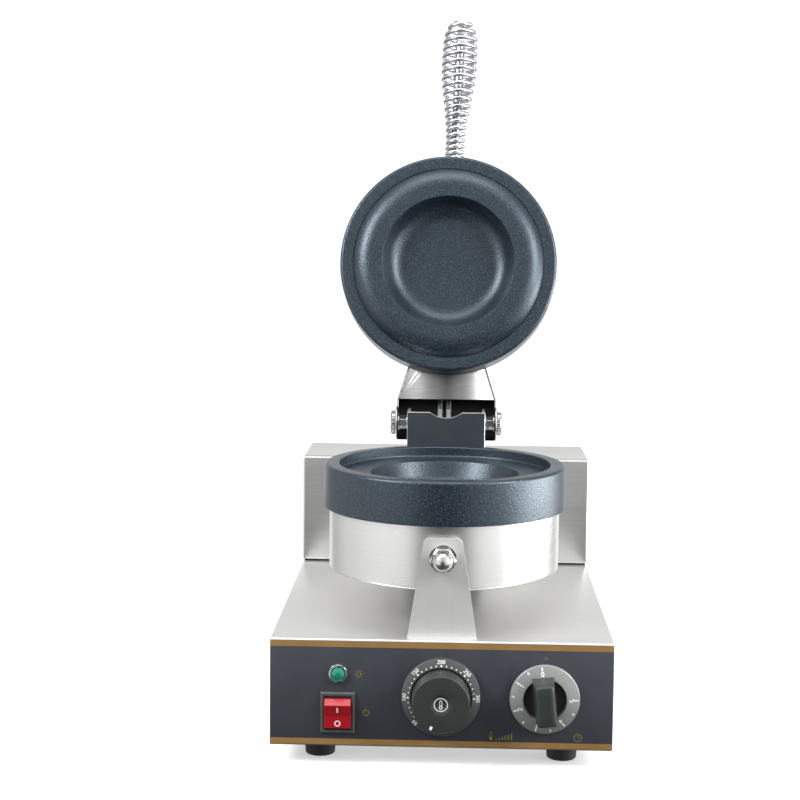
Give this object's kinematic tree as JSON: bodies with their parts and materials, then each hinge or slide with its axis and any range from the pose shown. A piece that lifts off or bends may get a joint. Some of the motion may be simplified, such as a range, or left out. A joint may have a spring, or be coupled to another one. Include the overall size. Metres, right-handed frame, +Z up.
{
  "type": "donut maker",
  "caption": "Single-head electric press for round filled donuts: stainless base with dials and switch, heated lower drum, hinged upper drum standing open with a coiled spring handle.",
  "frame": {"origin": "centre of the footprint, on the surface that the rubber feet stand on", "axes": "+Z up; the control panel faces -Y; +X is to the right when facing the panel; the lid hinges about X at the rear and is stored open"},
  "size_m": [0.2532, 0.395, 0.5743],
  "materials": {
    "stainless": "satin, lightly brushed",
    "bracket_steel": "satin",
    "nonstick": "satin speckled non-stick coating on cast aluminium",
    "post_paint": "satin dark paint",
    "zinc": "bright zinc",
    "bright_steel": "polished",
    "overlay": "printed film, satin, gold stripes along top and bottom",
    "rubber": "matt",
    "black_plastic": "satin",
    "dial_grey": "satin grey with white marks",
    "timer_grey": "satin dark grey with white marks",
    "red_plastic": "gloss, white I and O",
    "lamp_green": "translucent green",
    "lamp_ring": "clear plastic ring",
    "bakelite": "matt moulded body",
    "brass": "plain",
    "copper_tube": "drawn capillary",
    "wire": "silicone wire insulation",
    "glass_sleeve": "woven glass-fibre sleeve",
    "wool": "mineral wool pad",
    "element": "oxidised heater sheath"
  },
  "bodies": {
    "base": {"base_shell": "stainless", "base_bottom": "bracket_steel", "bottom_screws": "zinc", "control_panel": "overlay", "rubber_feet": "rubber", "foot_screws": "zinc", "rear_box_shell": "stainless", "rear_box_back": "bracket_steel", "rear_box_screws": "zinc", "cable_gland": "black_plastic", "gland_locknut": "black_plastic", "terminal_block": "bakelite", "earth_stud": "brass", "pilot_lamp_bezel": "lamp_ring", "pilot_lamp_lens": "lamp_green", "pilot_lamp_body": "black_plastic", "rocker_frame": "black_plastic", "rocker_pin": "zinc", "thermostat_dial": "dial_grey", "thermostat_body": "bakelite", "control_screws": "zinc", "timer_body": "bakelite", "capillary": "copper_tube", "wiring_harness": "wire", "lower_plate": "nonstick", "lower_housing": "stainless", "lower_element": "element", "lower_element_clamp": "bracket_steel", "lower_insulation": "wool", "lower_plate_screws": "zinc", "front_bracket": "bracket_steel", "front_bracket_screws": "zinc", "front_stud": "zinc", "front_cap_nut": "bright_steel", "rear_standoff": "bracket_steel", "rear_stud": "zinc", "wire_sleeve": "glass_sleeve", "grommets": "rubber", "hinge_post": "post_paint", "hinge_post_screws": "zinc", "hinge_bolts": "zinc", "hinge_nuts": "zinc", "hinge_locknuts": "zinc", "heater_leads": "glass_sleeve"},
    "lid": {"lid_leads": "glass_sleeve", "hinge_neck": "stainless", "neck_cover": "stainless", "upper_housing": "stainless", "upper_plate": "nonstick", "upper_element": "element", "upper_element_clamp": "bracket_steel", "upper_insulation": "wool", "upper_plate_screws": "zinc", "handle_spring": "bright_steel", "handle_rod": "zinc"},
    "rocker_body": {"rocker": "red_plastic"},
    "thermostat_knob_body": {"thermostat_knob": "black_plastic", "thermostat_shaft": "zinc"},
    "timer_knob_body": {"timer_knob": "timer_grey", "timer_shaft": "zinc"}
  },
  "joints": [
    {"name": "lid_hinge", "type": "hinge", "parent": "base", "child": "lid", "pos_m": [0, 0.0652, 0.2225], "axis": [1, 0, 0], "range_deg": [0, 101.5]},
    {"name": "rocker_tilt", "type": "hinge", "parent": "base", "child": "rocker_body", "pos_m": [-0.075, -0.1703, 0.04], "axis": [-1, 0, 0], "range_deg": [0, 24]},
    {"name": "thermostat_turn", "type": "hinge", "parent": "base", "child": "thermostat_knob_body", "pos_m": [0, -0.1741, 0.054], "axis": [0, 1, 0], "range_deg": [0, 248]},
    {"name": "timer_turn", "type": "hinge", "parent": "base", "child": "timer_knob_body", "pos_m": [0.075, -0.1741, 0.0535], "axis": [0, 1, 0], "range_deg": [0, 264]}
  ]
}
